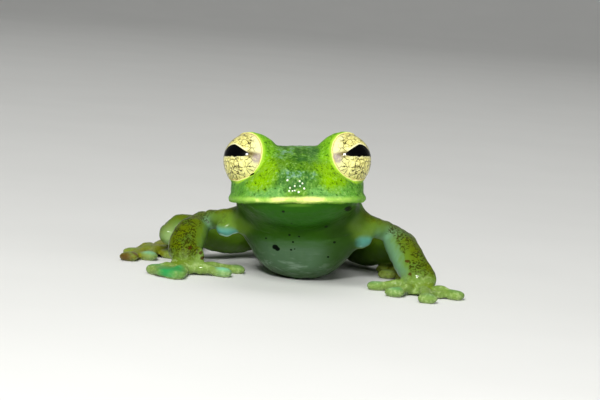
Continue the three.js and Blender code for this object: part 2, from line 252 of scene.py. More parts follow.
def regionFields():
    low, high = (np.array(corner) / mm for corner in cadBox)
    whole = Field(low - skinBuild["margin"], high + skinBuild["margin"], skinBuild["step"])
    found = {}
    for region, names in regions.items():
        found[region] = np.full(tuple(whole.size), skinBuild["reach"], np.float32)
        for name in names:
            points, triangles = solidSurface(name)
            values = whole.measured(points, skinBuild["reach"], triangles=triangles)
            np.minimum(found[region], values, out=found[region])
    return whole, found


def mouthHeight(whole):
    # how high each sample lies above the mouth's line
    rows = [(first + np.arange(size)) * whole.step for first, size in zip(whole.first, whole.size)]
    parts = np.ix_(*[(row - headOrigin[k]) * headTurn[k, 2] for k, row in enumerate(rows)])
    return (parts[0] + parts[1] + parts[2]).astype(np.float32)


def fleshField(whole, found):
    # all solids as one: the gaps between them closed, then softened most on the body
    build = skinBuild
    breast = softMin(found["jaw"], found["torso"], build["throatFillet"])
    breast = softMin(breast, found["upperArm"], build["armFillet"])
    neck = softMin(found["head"], found["torso"], build["throatFillet"])
    whole.values = np.minimum.reduce([*found.values(), breast, neck]).astype(np.float32)
    points, quads = whole.surface(build["closing"])
    closed = whole.measured(points, build["reach"] + build["closing"], quads=quads) + build["closing"]
    parts = ("trunk", "body", "limb", "digit")
    trunk, soft, medium, fine = (blurred(closed, build[f"{part}Blur"] / build["step"]) for part in parts)
    trunk = blurred(trunk, build["trunkBlur"] / build["step"])
    nearDigits = np.minimum(found["finger"], found["toe"])
    slender = ("upperArm", "foreArm", "hand", "shank", "tarsus", "foot")
    nearLimbs = np.minimum.reduce([found[region] for region in slender])
    others = np.minimum.reduce([values for r, values in found.items() if r not in ("torso", "jaw")])
    fromLip = np.abs(mouthHeight(whole) - upperLip["height"]) + 2 * found["head"].clip(0)
    limbShare = smoothStep(*build["limbChange"], nearLimbs) * smoothStep(*build["lipChange"], fromLip)
    soft += (trunk - soft) * smoothStep(*build["trunkChange"], others)
    mixed = medium + (soft - medium) * limbShare
    digitShare = smoothStep(*build["digitChange"], nearDigits)
    whole.values = (fine + (mixed - fine) * digitShare).astype(np.float32)


def lidEdge(place, side):
    # the edge of the lids in each direction around the eye: its angle from the eye's axis, how
    # far along that axis the place is, how far from it, and how much it is on the outer side
    out = math.radians(eyeShape["outward"])
    along = place @ eyeAxis(side)
    around = np.sqrt(np.maximum((place**2).sum(-1) - along**2, 1e-6))
    outer = smoothStep(0.1, 0.85, place @ np.array([side * math.cos(out), math.sin(out), 0]) / around)
    angle = np.radians(eyeShape["lidAngle"] + eyeShape["lidOpen"] * outer)
    return angle, along, around, outer


def shapeLids(whole):
    eye = eyeShape
    radius = eye["radius"]
    outward, forward = eye["rimPlace"]
    for side in sides.values():
        centre = fromHead(eyeCentre(side))
        window, places = whole.box(centre - eye["box"], centre + eye["box"])
        place = toHead(places) - eyeCentre(side)
        distance = lengthOf(place)
        angle, along, around, outer = lidEdge(place, side)
        edge, ring = radius * np.cos(angle), radius * np.sin(angle)
        opening = np.maximum(distance - (radius + eye["clearance"]), edge + 0.01 - along)
        values = np.maximum(whole.values[window], -opening)
        thickness = eye["lidThickness"] * (1 - outer) - eye["lidSink"] * outer
        lidRadius = radius - eye["lidRoot"] + (eye["lidRoot"] + thickness) * smoothStep(-0.3, edge, along)
        values = softMin(values, np.maximum(distance - lidRadius, along - edge), eye["lidFillet"])
        rim = np.hypot(around - ring - outward, along - edge - forward) - eye["rim"] * (1 - outer)
        values = softMin(values, rim, eye["rim"])
        whole.values[window] = np.minimum(values, distance - (radius - eye["backing"]))


# soft bulges that the solids hold only coarsely: middle, half sizes, turn about the upright and fillet
lobes = [
    ((-6.05, -3.7, 3.42), (0.68, 0.46, 0.52), 8, 0.55),  # under the right upper arm
    ((4.08, -3.95, 3.66), (0.66, 0.46, 0.54), -8, 0.6),  # and under the left one
]
armFlesh = [
    ((-8.0, -5.5, 1.35), (0.5, 0.5, 0.8), 0, 0.5),  # right wrist, inner side
    ((-8.66, -2.6, 2.8), (1.16, 1.05, 1.05), 0, 0.4),  # right forearm, downwards
    ((-8.86, -3.3, 2.4), (1.22, 1.05, 1.05), 0, 0.4),
    ((-9.0, -3.9, 1.95), (1.24, 1.05, 1.05), 0, 0.4),
    ((-9.0, -4.5, 1.6), (1.2, 1, 1), 0, 0.4),
    ((6.98, -2.75, 3.15), (0.92, 0.92, 0.92), 0, 0.6),  # left forearm, downwards
    ((7.25, -3.4, 2.85), (1, 1, 1), 0, 0.4),
    ((7.5, -4.0, 2.5), (1.04, 1, 1), 0, 0.4),
    ((7.78, -4.6, 2.2), (1.06, 1, 1), 0, 0.4),
    ((8.06, -5.1, 1.85), (1.2, 1, 1), 0, 0.4),
    ((8.5, -5.7, 1.5), (1.2, 0.9, 0.9), 0, 0.4),
    ((8.85, -6.3, 1.15), (1.1, 0.8, 0.7), 0, 0.4),
]
padBox = 1.6  # half size of the box in which each bulge is added

# the pad under each digit's disc
discPad = {
    "half": (0.66, 0.68, 0.33),  # along, across and up
    "first": 0.85,  # how large it is on a first digit, next to the others
    "back": 0.58,  # from the digit's tip to the pad's middle
    "fillet": 0.22,
}

# web between the outer digits of the right hand: a plate of that middle height and half thickness
handWeb = {
    "corners": [(-11.25, -7.15), (-10.6, -8.45), (-9.45, -9.3), (-8.75, -7.5), (-9.4, -6.1)],
    "height": 0.34,
    "half": 0.28,
    "edge": 0.22,
    "fillet": 0.3,
    "box": ((-12.5, -10.5, -0.3), (-7.5, -5, 1.2)),
    "greenMiddle": (-9.75, -8.5),
    "greenReach": (0.3, 1.9),
    "green": 0.9,
}


def webDistance(place):
    # from a thin plate with a round edge
    corners = np.array(handWeb["corners"])
    flat = np.full(place.shape[:-1], -9.0)
    for a, b in zip(corners, np.roll(corners, -1, axis=0)):
        along = (b - a) / np.linalg.norm(b - a)
        away = place[..., :2] - a
        flat = np.maximum(flat, away[..., 0] * along[1] - away[..., 1] * along[0])
    up = np.abs(place[..., 2] - handWeb["height"]) - handWeb["half"] + handWeb["edge"]
    outside = np.hypot(np.maximum(flat, 0), np.maximum(up, 0))
    return outside + np.minimum(np.maximum(flat, up), 0) - handWeb["edge"]


def addFlesh(whole):
    pads = lobes + armFlesh
    for name in digitNodes:
        tip, back = tipOf(name)
        half = np.array(discPad["half"]) * (discPad["first"] if name.endswith("1") else 1)
        middle = tip + back * discPad["back"]
        middle[2] = half[2]
        pads.append((middle, half, math.degrees(math.atan2(back[1], back[0])), discPad["fillet"]))
    for middle, half, turn, fillet in pads:
        middle, half = np.array(middle), np.array(half)
        window, places = whole.box(middle - padBox, middle + padBox)
        away = places - middle
        cos, sin = math.cos(math.radians(turn)), math.sin(math.radians(turn))
        x, y = away[..., 0] * cos + away[..., 1] * sin, away[..., 1] * cos - away[..., 0] * sin
        scaled = np.sqrt((x / half[0]) ** 2 + (y / half[1]) ** 2 + (away[..., 2] / half[2]) ** 2)
        whole.values[window] = softMin(whole.values[window], (scaled - 1) * half.min(), fillet)
    window, places = whole.box(*handWeb["box"])
    whole.values[window] = softMin(whole.values[window], webDistance(places), handWeb["fillet"])


def noiseOn(points, size, seed, waves=48):
    # smooth noise from a few waves of random direction, between about -1 and 1
    draw = np.random.default_rng(seed)
    total = np.zeros(len(points))
    for _ in range(waves):
        wave = draw.normal(size=3) * 2 * math.pi / size
        total += np.sin(points @ wave + draw.uniform(0, 2 * math.pi))
    return total / math.sqrt(waves)


# the throat's edge and the breast's fold: lowest height, how fast it bends up to the sides, and where it is
# lowest; then the skin's unevenness: height, size and seed
folds = {"throat": (4.25, 0.11, -0.7), "breast": (3.3, 0.03, -0.5)}
ripples = {"broad": (0.018, 1.3, 3), "fine": (0.004, 0.5, 5)}


def overFold(fold, across, high):
    height, bend, lowest = folds[fold]
    away = across - lowest
    return high - height - bend * away * away


def ripple(points, kind):
    height, size, seed = ripples[kind]
    return height * noiseOn(points, size, seed)


def sculpt(points, normals, shares):
    # folds, lips and nostrils as small moves along the normals
    x, u, w = toHead(points).T
    push = np.zeros(len(points))
    mouthLine = mouth["rise"] * bell(x, 1.6) - 0.04
    front = 1 - smoothStep(mouth["back"] - mouth["fade"], mouth["back"], u)
    face = (shares["head"] + shares["jaw"]) * front
    push -= mouth["groove"] * bell(w - mouthLine, mouth["width"]) * face
    bulge = upperLip["bulge"] + upperLip["sideBulge"] * smoothStep(2.5, 4.6, np.abs(x))
    push += bulge * bell(w - upperLip["height"], upperLip["width"]) * shares["head"] * front
    nx, nu, nw = nostril["place"]
    for side in sides.values():
        away = np.sqrt((x - side * nx) ** 2 + (u - nu) ** 2 + (w - nw) ** 2)
        push += nostril["bump"] * bell(away, nostril["bumpWidth"])
        push -= nostril["pit"] * bell(away, nostril["pitWidth"])
    faces = smoothStep(0.1, 0.6, -normals[:, 1])
    across, _, high = points.T
    throat, breast = (overFold(fold, across, high) for fold in folds)
    push -= 0.06 * bell(throat, 0.2) * (shares["torso"] + shares["jaw"]) * faces
    push += (0.05 * bell(breast - 0.3, 0.25) - 0.07 * bell(breast, 0.14)) * shares["torso"] * faces
    push += ripple(points, "broad") * (1 - shares["digits"]) + ripple(points, "fine")
    return points + normals * push[:, None]


def meshNormals(points, quads):
    corners = points[quads]
    face = np.cross(corners[:, 2] - corners[:, 0], corners[:, 3] - corners[:, 1])
    total = np.zeros_like(points)
    for k in range(4):
        np.add.at(total, quads[:, k], face)
    return total / np.maximum(np.linalg.norm(total, axis=1, keepdims=True), 1e-9)


def regionShares(whole, found, points):
    # how much of each point belongs to each region
    gradual = ("foreArm", "hand", "tarsus", "foot")
    raw = {}
    for region, values in found.items():
        away = whole.sample(values, points)
        near = np.maximum(away, skinBuild["wristChange"][0])
        raw[region] = np.exp(-near / skinBuild["regionChange"])
        if region in gradual:
            raw[region] = 1 - smoothStep(*skinBuild["wristChange"], away)
    total = np.maximum(sum(raw.values()), 1e-9)
    shares = {region: value / total for region, value in raw.items()}
    shares["digits"] = shares["finger"] + shares["toe"]
    return shares


def tipOf(name):
    # a digit's point farthest from its palm or sole, and the level way back from it
    root = "palm" if name.startswith("finger") else "sole"
    own, _ = solidSurface(name)
    heart = solidSurface(f"{root}_{name.split('_')[1]}")[0].mean(0)
    tip = own[np.argmax(lengthOf(own - heart))]
    back = (heart - tip) * (1, 1, 0)
    return tip, back / np.linalg.norm(back)


# how green, and how pale a blue, the discs are that show it
discTints = {
    "finger_right_2": (0.15, 0.9),
    "finger_right_3": (0.75, 0.0),
    "finger_right_4": (0.5, 0.0),
    "finger_left_1": (0.2, 0.2),
    "finger_left_2": (0.3, 0.2),
    "toe_right_3": (0.1, 0.6),
}


def discMarks(points):
    # green and pale tops of the digits' discs, and the rims below
    green, pale, rim = (np.zeros(len(points)) for _ in range(3))
    top = smoothStep(0.04, 0.2, points[:, 2])
    for name in digitNodes:
        tip, back = tipOf(name)
        away = lengthOf((points - tip - back * 0.55)[:, :2])
        near = (1 - smoothStep(0.3, 0.8, away)) * top
        greens, pales = discTints.get(name, (0.12, 0.1))
        green = np.maximum(green, greens * near)
        pale = np.maximum(pale, pales * near)
        rim = np.maximum(rim, 1 - 0.5 * smoothStep(0.6, 1.0, away))
    rim *= 1 - smoothStep(0.04, 0.22, points[:, 2])
    away = lengthOf(points[:, :2] - handWeb["greenMiddle"])
    web = handWeb["green"] * (1 - smoothStep(*handWeb["greenReach"], away)) * top
    return np.maximum(green, web), pale, rim


def nearTo(points, spots, depth=1.0):
    # one at each place, fading over its own distance, less so from front to back
    scale = np.array([1, depth, 1])
    marks = [bell(lengthOf((points - place) * scale), reach) for place, reach in spots]
    return np.maximum.reduce(marks)


# places of local colour, each with how far it reaches
blueSpots = [
    ((-7.56, -2.22, 3.5), 0.5),
    ((-7.35, -1.95, 3.1), 0.6),
    ((6.23, -2.97, 3.43), 0.9),
    ((5.2, -3.4, 3.9), 0.5),
]
kneeSpots = [((-10.3, 0.9, 1.7), 1.0), ((-9.6, 0.6, 2.6), 0.6)]
brownSpots = [((-13.9, -1.5, 0.3), 0.95), ((-12.9, -0.7, 0.5), 0.5)]
rustSpots = [
    ((-8.61, -5.13, 1.98), 0.2),
    ((-8.4, -5.13, 1.9), 0.14),
    ((-8.1, -5.0, 1.5), 0.16),
    ((7.67, -5.88, 2.3), 0.16),
    ((7.83, -5.88, 2.38), 0.1),
    ((7.94, -6.6, 1.45), 0.2),
    ((8.05, -6.6, 1.2), 0.16),
    ((-7.75, -5.9, 1.7), 0.15),
    ((-7.6, -5.8, 1.3), 0.18),
]


def skinMarks(points, normals, shares):
    # where the colours change over the skin, as attributes from 0 to 1
    place = toHead(points)
    side = np.sign(points[:, 0] + 0.8)
    left = side > 0
    nx, ny, nz = normals.T
    outward = nx * side
    arm = 0.72 * outward + 0.5 * nz + 0.3 * (side < 0)
    bodyUp = normals @ bodyTurn[:, 2] + 0.5 * smoothStep(10, 14, points[:, 1])
    outer = {
        "upperArm": smoothStep(0.25, 0.95, nz - 0.1 * ny) * smoothStep(3.9, 4.6, points[:, 2]),
        "foreArm": smoothStep(-0.35, 0.8, arm),
        "thigh": smoothStep(0.1, 0.9, nz),
        "shank": smoothStep(0.0, 0.8, 0.5 * outward + 0.8 * nz),
        "tarsus": smoothStep(-0.2, 0.6, nz),
        "hand": smoothStep(0.3, 0.9, 0.5 * outward + 0.7 * nz),
        "finger": smoothStep(0.5, 1.0, nz) * 0.35,
        "foot": smoothStep(0.1, 0.9, nz),
        "toe": smoothStep(0.3, 0.9, nz) * 0.7,
        "torso": smoothStep(-0.05, 0.55, bodyUp),
        "head": smoothStep(-0.05, 0.1, place[:, 2]),
    }
    lobe, lid, lidOuter = (np.zeros(len(points)) for _ in range(3))
    radius = eyeShape["radius"]
    for (middle, half, *_), sign in zip(lobes, sides.values()):
        away = lengthOf((points - middle - (0, 0, -0.1)) / np.array(half))
        low = 1 - smoothStep(-0.5, 0.5, points[:, 2] - middle[2])
        lobe = np.maximum(lobe, low * (1 - smoothStep(1.1, 1.7, away)))
        angle, along, around, outerSide = lidEdge(place - eyeCentre(sign), sign)
        away = np.hypot(around - radius * np.sin(angle), along - radius * np.cos(angle))
        lid = np.maximum(lid, 1 - smoothStep(0, 0.5, away))
        lidOuter = np.where(place[:, 0] * sign > 0, outerSide, lidOuter)
    green, pale, rim = discMarks(points)
    digits = shares["digits"]
    speckled = smoothStep(0.1, 0.6, arm + 0.3 * left)
    inner = shares["foreArm"] * smoothStep(0.5, 1.15, -outward + 0.2 * left) * np.where(left, 0.75, 0.15)
    return {
        "dorsal": sum(shares[region] * share for region, share in outer.items()),
        "limb": sum(shares[r] for r in ("upperArm", "foreArm", "thigh", "shank", "tarsus")),
        "hind": sum(shares[r] for r in ("thigh", "shank", "tarsus", "foot", "toe")),
        "ends": shares["hand"] + shares["foot"] + digits,
        "blue": np.maximum(0.95 * nearTo(points, blueSpots), inner),
        "lobe": lobe,
        "lobeRim": lobe * smoothStep(0.55, 0.95, -nz),
        "flecks": shares["foreArm"] * speckled + shares["upperArm"] * smoothStep(0.15, 0.8, nz) * 0.35,
        "disc": green * digits,
        "discPale": pale * digits,
        "discRim": rim * digits,
        "lid": lid,
        "lidOuter": lidOuter,
        "knee": nearTo(points, kneeSpots),
        "brown": nearTo(points, brownSpots),
        "rust": nearTo(points, rustSpots, 0.3),
    }


def linked(name, data):
    made = bpy.data.objects.new(name, data)
    bpy.context.scene.collection.objects.link(made)
    return made


def meshObject(name, points, faces, **marks):
    # from millimetres, with marks that are a number or a vector at each point
    mesh = bpy.data.meshes.new(name)
    mesh.from_pydata((np.asarray(points) * mm).tolist(), [], faces)
    for key, values in marks.items():
        values = np.asarray(values, np.float32)
        kind, part = ("FLOAT", "value") if values.ndim == 1 else ("FLOAT_VECTOR", "vector")
        mesh.attributes.new(key, kind, "POINT").data.foreach_set(part, values.ravel())
    mesh.validate()
    mesh.update()
    mesh.shade_smooth()
    return linked(name, mesh)


def applied(source, modifier):
    # the object with its one modifier made part of a plain, smooth mesh
    evaluated = source.evaluated_get(bpy.context.evaluated_depsgraph_get())
    made = bpy.data.meshes.new_from_object(evaluated)
    made.shade_smooth()
    source.modifiers.remove(modifier)
    source.data = made
    return source


def makeSkin():
    whole, found = regionFields()
    print("skin: distances to", sum(len(names) for names in regions.values()), "solids")
    fleshField(whole, found)
    addFlesh(whole)
    shapeLids(whole)
    points, quads = whole.surface()
    points = points.astype(float)
    shares = regionShares(whole, found, points)
    points = sculpt(points, meshNormals(points, quads), shares)
    points[:, 2] = np.maximum(points[:, 2], 0)
    marks = skinMarks(points, meshNormals(points, quads), shares)
    skin = meshObject("skin", points, quads.tolist(), **marks, headPlace=toHead(points))
    thinning = skin.modifiers.new("thinning", "DECIMATE")
    thinning.ratio = skinBuild["triangles"] / (2 * len(quads))
    applied(skin, thinning)
    skin.data.calc_loop_triangles()
    print("skin:", len(skin.data.loop_triangles), "triangles, from", 2 * len(quads))
    return skin


# Node trees and materials


def findSocket(sockets, key):
    if isinstance(key, int):
        return sockets[key]
    return next(s for s in sockets if key in (s.identifier, s.name))


def addNode(tree, kind, settings=None, inputs=None):
    # settings first, then the values or links of its sockets
    made = tree.nodes.new(kind)
    for key, value in (settings or {}).items():
        setattr(made, key, value)
    for key, value in (inputs or {}).items():
        socket = findSocket(made.inputs, key)
        if isinstance(value, bpy.types.NodeSocket):
            tree.links.new(value, socket)
        else:
            socket.default_value = value
    return made.outputs


def mathMethod(operation, reflected=False):
    def method(self, other=0.0):
        first, second = (other, self) if reflected else (self, other)
        return self.finish.math(operation, first, second)

    return method


class Signal:
    # a socket of a material's tree; arithmetic on it adds Math nodes
    def __init__(self, finish, socket):
        self.finish = finish
        self.socket = socket

    atLeast = mathMethod("MAXIMUM")
    atMost = mathMethod("MINIMUM")
    size = mathMethod("ABSOLUTE")

    def rise(self, low, high):
        # from 0 at low to 1 at high, smoothly
        inputs = {"Value": self, "From Min": low, "From Max": high}
        return self.finish.node("ShaderNodeMapRange", {"interpolation_type": "SMOOTHSTEP"}, inputs)

    def fall(self, low, high):
        return 1 - self.rise(low, high)


operators = {"add": "ADD", "sub": "SUBTRACT", "mul": "MULTIPLY", "truediv": "DIVIDE", "pow": "POWER"}
for word, operation in operators.items():
    setattr(Signal, f"__{word}__", mathMethod(operation))
    setattr(Signal, f"__r{word}__", mathMethod(operation, reflected=True))


def tone(colour):
    # red, green and blue as a screen shows them, from 0 to 255, in the shader's own linear light
    shares = [value / 255 for value in colour]
    return (*[s / 12.92 if s <= 0.04045 else ((s + 0.055) / 1.055) ** 2.4 for s in shares], 1.0)


class Finish:
    # one material, with its colours by name
    def __init__(self, name, colours):
        self.material = bpy.data.materials.new(name)
        self.material.use_nodes = True
        self.tree = self.material.node_tree
        self.tree.nodes.clear()
        self.colours = {key: tone(value) for key, value in colours.items()}
        self.coordinate = self.node("ShaderNodeTexCoord", output="Object")

    def node(self, kind, settings=None, inputs=None, output=0):
        plain = {}
        for key, value in (inputs or {}).items():
            plain[key] = value.socket if isinstance(value, Signal) else value
        outputs = addNode(self.tree, kind, settings, plain)
        return Signal(self, findSocket(outputs, output)) if len(outputs) else None

    def math(self, operation, first, second=0.0):
        return self.node("ShaderNodeMath", {"operation": operation}, {0: first, 1: second})

    def vector(self, operation, first, second):
        return self.node("ShaderNodeVectorMath", {"operation": operation}, {0: first, 1: second})

    def mix(self, first, second, share):
        # two colours, each a signal or the name of one
        first, second = (self.colours.get(one, one) for one in (first, second))
        inputs = {"Factor_Float": share, "A_Color": first, "B_Color": second}
        return self.node("ShaderNodeMix", {"data_type": "RGBA"}, inputs, "Result_Color")

    def coated(self, colour, *coats):
        # coats of named colours, each with how much it covers
        for name, share in coats:
            colour = self.mix(colour, name, share)
        return colour

    def mark(self, name):
        return self.node("ShaderNodeAttribute", {"attribute_name": name}, output="Fac")

    def place(self, name):
        # the three numbers of a vector attribute
        return self.split(self.node("ShaderNodeAttribute", {"attribute_name": name}, output="Vector"))

    def split(self, source):
        return [self.node("ShaderNodeSeparateXYZ", inputs={0: source}, output=k) for k in range(3)]

    def noise(self, perMetre, detail=2.0, roughness=0.5, source=None, output=0):
        inputs = {"Vector": source or self.coordinate, "Scale": perMetre}
        inputs |= {"Detail": detail, "Roughness": roughness}
        return self.node("ShaderNodeTexNoise", inputs=inputs, output=output)

    def stirred(self, source, scale, amount):
        # a place moved a little by noise, so that lines through it wander
        stir = self.noise(scale, 3.0, source=source, output="Color")
        centred = self.vector("SUBTRACT", stir, (0.5, 0.5, 0.5))
        return self.vector("ADD", source, self.vector("MULTIPLY", centred, (amount, amount, amount)))

    def cells(self, perMetre, feature="F1", source=None):
        inputs = {"Vector": source or self.coordinate, "Scale": perMetre}
        return self.node("ShaderNodeTexVoronoi", {"feature": feature}, inputs, "Distance")

    def shade(self, **sockets):
        # the surface itself, with fixed numbers on its own sockets
        names = {key.replace("_", " "): value for key, value in sockets.items()}
        surface = self.node("ShaderNodeBsdfPrincipled", inputs=names)
        self.node("ShaderNodeOutputMaterial", inputs={"Surface": surface})
        return self.material


skinColours = {
    "deepGreen": (48, 94, 22),
    "leafGreen": (92, 142, 32),
    "teal": (62, 110, 56),
    "greyBlue": (112, 148, 134),
    "yellowGreen": (128, 178, 0),
    "brow": (118, 178, 24),
    "browOlive": (94, 136, 0),
    "cheek": (96, 160, 48),
    "tealBand": (106, 164, 82),
    "speckDark": (30, 72, 12),
    "speckPale": (158, 196, 104),
    "lip": (242, 248, 146),
    "lipSide": (164, 208, 88),
    "lipEdge": (126, 180, 56),
    "lidGlow": (166, 208, 56),
    "lidPale": (228, 232, 146),
    "lidLine": (176, 140, 84),
    "throat": (42, 96, 12),
    "throatSide": (46, 86, 0),
    # painted shade in the fold below the throat
    "foldShade": (22, 64, 0),
    "chest": (46, 90, 6),
    "belly": (74, 102, 72),
    # painted shade on the belly's sides and near the floor
    "bellySideShade": (44, 74, 20),
    # a painted sheen in pale streaks low on the belly
    "bellySheen": (132, 154, 134),
    "armOlive": (86, 102, 0),
    "armGreen": (66, 94, 0),
    "armPale": (94, 126, 38),
    "blueSkin": (108, 150, 120),
    "lobeBlue": (92, 160, 150),
    "lobePale": (196, 236, 222),
    "hindSide": (72, 106, 18),
    "kneePale": (158, 186, 120),
    "handGreen": (98, 122, 14),
    "digit": (116, 144, 66),
    "digitPale": (186, 206, 140),
    "disc": (26, 146, 76),
    "discBlue": (130, 200, 158),
    "footOlive": (120, 124, 20),
    "footBrown": (84, 48, 20),
    "fleck": (44, 44, 0),
    "rust": (64, 28, 6),
    # the breast's dark spots, and painted shade at the corner of the jaw
    "spotAndShade": (0, 8, 0),
}

# dark spots of throat and breast, the last one painted shade in the crease between the lower jaw and the
# left arm: across, up, and half their size
breastSpotsAndShade = [
    (-1.82, 5.73, 0.12),
    (1.43, 4.45, 0.14),
    (-1.15, 4.74, 0.06),
    (-1.24, 3.58, 0.10),
    (-0.52, 3.52, 0.08),
    (-0.94, 3.05, 0.09),
    (-2.98, 3.10, 0.08),
    (-2.24, 2.52, 0.23),
    (-2.06, 2.40, 0.19),
    (-1.04, 2.44, 0.09),
    (-0.78, 2.53, 0.06),
    (2.16, 3.21, 0.11),
    (1.77, 2.07, 0.09),
    # painted shade in the crease where the lower jaw meets the left arm
    (2.93, 6.1, 0.28),
]
# a dark dash on the right lower lid: its middle, slope, and length and width squared
lidDash = {"across": -3.31, "up": 2.12, "slope": 0.5, "length": 0.03, "width": 0.005}


def faceColour(f, noises, x, w, u):
    # the top of the head, the snout, the patches below the eyes and the lids
    fine, middle, broad, speckle = noises
    wide = x.size()
    loose = wide + (middle - 0.5) * 1.4 + (broad - 0.5) * 1.6
    head = u.fall(9.0, 11.5)
    snout = wide.fall(0.9, 2.2) * w.rise(0.7, 1.3) * w.fall(2.6, 3.4) * head
    olive = (w - 2.7 + (broad - 0.5) * 1.2).size().fall(0.25, 0.6) * loose.fall(1.2, 2.8) * head
    mottle = middle.rise(0.5, 0.6) * fine.rise(0.42, 0.55) * (1 - olive * 0.8)
    low = (w + (middle - 0.5) * 1.2).fall(1.0, 1.5) * wide.rise(0.5, 1.2) * wide.fall(2.8, 4.2) * head
    brow = loose.rise(1.3, 2.3) * w.rise(2.9, 3.4) * head
    px = (wide - 2.5 + (w - 2.15) * 0.25) / 0.95
    pw = (w - 2.1) / 1.15
    patch = px * px + pw * pw + (middle - 0.5) * 3.4 + (fine - 0.5) * 3.0
    lid, lidOuter = f.mark("lid"), f.mark("lidOuter")
    return f.coated(
        "deepGreen",
        ("leafGreen", middle.rise(0.38, 0.58)),
        ("teal", broad.rise(0.5, 0.62) * 0.6),
        ("teal", snout * 0.45),
        ("browOlive", olive * (middle.rise(0.35, 0.6) * 0.5 + 0.3)),
        ("greyBlue", mottle * loose.fall(0.8, 2.0) * w.rise(1.6, 2.0) * head * 0.7),
        ("cheek", wide.rise(2.6, 3.4) * w.fall(1.3, 2.2) * head * 0.7),
        ("tealBand", low * 0.75),
        ("brow", brow * (0.5 + middle * 0.6).atMost(1.0)),
        ("yellowGreen", patch.fall(0.0, 2.2) * u.fall(3.6, 6.0)),
        ("deepGreen", fine.fall(0.3, 0.48) * 0.5),
        ("speckDark", speckle.fall(0.36, 0.5) * fine.fall(0.42, 0.56) * 0.8),
        ("speckPale", speckle.rise(0.52, 0.64) * fine.rise(0.44, 0.6) * 0.5),
        ("lidGlow", lid.rise(0.1, 0.75) * (0.8 - lidOuter * 0.4)),
        ("lidPale", lid.rise(0.8, 0.94) * (1 - lidOuter * 0.5)),
        ("lidLine", lid.rise(0.92, 0.98) * 0.7),
    )


def lipColour(f, under, fine, middle, x, w, u):
    # the pale upper lip over what is under it, and a faint edge below the mouth
    wide = x.size()
    uneven = (middle - 0.5) * 0.5 + (fine - 0.5) * 0.2
    high = w + uneven * 0.6
    front = u.fall(6.5, 8.5)
    blotch = f.noise(820, 3, 0.55)
    lip = f.coated(
        "lip",
        ("lipSide", (wide + uneven * 5).rise(1.3, 2.9)),
        ("lipEdge", blotch.fall(0.38, 0.5) * 0.6),
        ("lip", blotch.rise(0.52, 0.62) * wide.fall(2.6, 4.4) * 0.6),
        ("lipEdge", high.fall(0.02, 0.16) * (0.5 + wide.rise(0.8, 2.0) * 0.5)),
        ("cheek", wide.rise(3.4, 4.6) * 0.6),
    )
    lower = w.rise(-0.32, -0.16) * w.fall(-0.06, 0.0) * wide.fall(0.2, 1.4) * front
    under = f.mix(under, lip, high.rise(-0.06, 0.06) * high.fall(0.3, 0.6) * front)
    return f.mix(under, "lipEdge", lower * 0.4)


def trunkColour(f, middle, place):
    # throat, breast and belly, which change at the folds, with painted shade in the fold below the throat
    # and on the belly's sides and bottom, and a painted sheen low on the belly
    across, deep, high = place
    front = deep.fall(-3.6, -1.5)
    streaks = f.noise(1500, 3, 0.6, f.vector("MULTIPLY", f.coordinate, (0.3, 1.0, 2.0)))
    fold = overFold("throat", across, high) + (middle - 0.5) * 0.5
    lower = high - 3.1 - 0.045 * across + (streaks - 0.5) * 1.2
    # the belly's sides and the part near the floor darker: painted shade
    edge = (across + 1.0).size().rise(1.4, 3.6).atLeast(high.fall(0.2, 1.2) * 0.7)
    under = f.coated(
        "belly",
        ("chest", lower.rise(-0.7, 0.6) * front),
        # painted sheen: pale streaks low on the belly
        ("bellySheen", streaks.rise(0.5, 0.68) * high.fall(0.5, 2.8) * 0.7),
        ("bellySideShade", (edge + (middle - 0.5) * 0.4).atLeast(0.0).atMost(1.0) * 0.9),
    )
    throat = f.mix("throat", "throatSide", (across + 0.6).size().rise(2.0, 4.2) * 0.8)
    # painted shade in the fold below the throat's edge
    foldShade = (fold + 0.1).size().fall(0.1, 0.7) * (across + 0.7).size().fall(1.8, 3.6)
    under = f.mix(under, throat, fold.rise(-0.35, 0.45) * front)
    return f.mix(under, "foldShade", foldShade * front * 0.55)


def limbColour(f, fine, middle, speckle, cells):
    # arms and legs: olive and flecked outside, pale inside, with pale hands and blue-green discs
    dorsal, hind = f.mark("dorsal"), f.mark("hind")
    outside = f.mix("armOlive", "armGreen", middle.rise(0.45, 0.65) * 0.6)
    flecks = (speckle.fall(0.43, 0.53) + cells.fall(0.2, 0.42) * 0.6).atMost(1.0) * middle.rise(0.34, 0.48)
    fleckShare = (f.mark("flecks") + hind * dorsal * 0.15).atMost(1.0)
    limb = f.coated(
        f.mix("armPale", outside, dorsal),
        ("hindSide", hind * (1 - dorsal) * 0.8),
        ("kneePale", f.mark("knee") * 0.75),
        ("blueSkin", (f.mark("blue") + (middle - 0.5) * 0.3).atLeast(0.0)),
        ("fleck", flecks * fleckShare.rise(0.0, 0.7) * 0.92),
    )
    ends = f.coated(
        "digit",
        ("handGreen", (dorsal + (middle - 0.5) * 1.2).rise(0.1, 0.9) * 0.85),
        ("digitPale", fine.rise(0.5, 0.64) * 0.35),
        ("footOlive", hind * (middle.rise(0.4, 0.6) * 0.4 + 0.5)),
        ("fleck", speckle.fall(0.36, 0.48) * fine.fall(0.4, 0.54) * (0.25 + hind * 0.35)),
        ("digitPale", f.mark("discRim") * 0.3),
        ("discBlue", f.mark("discPale")),
        ("disc", (f.mark("disc") + (middle - 0.5) * 0.6).rise(0.05, 1.0)),
    )
    return f.coated(
        f.mix(limb, ends, f.mark("ends")),
        ("footBrown", (f.mark("brown") + (fine - 0.5) * 0.5).rise(0.2, 0.9) * 0.85),
        ("rust", (f.mark("rust") + (fine - 0.5) * 0.8).rise(0.35, 0.6) * 0.85),
        ("lobeBlue", (f.mark("lobe") + (middle - 0.5) * 0.2).rise(0.05, 0.85) * 0.9),
        ("lobePale", f.mark("lobeRim").rise(0.35, 0.8) * 0.9),
    )


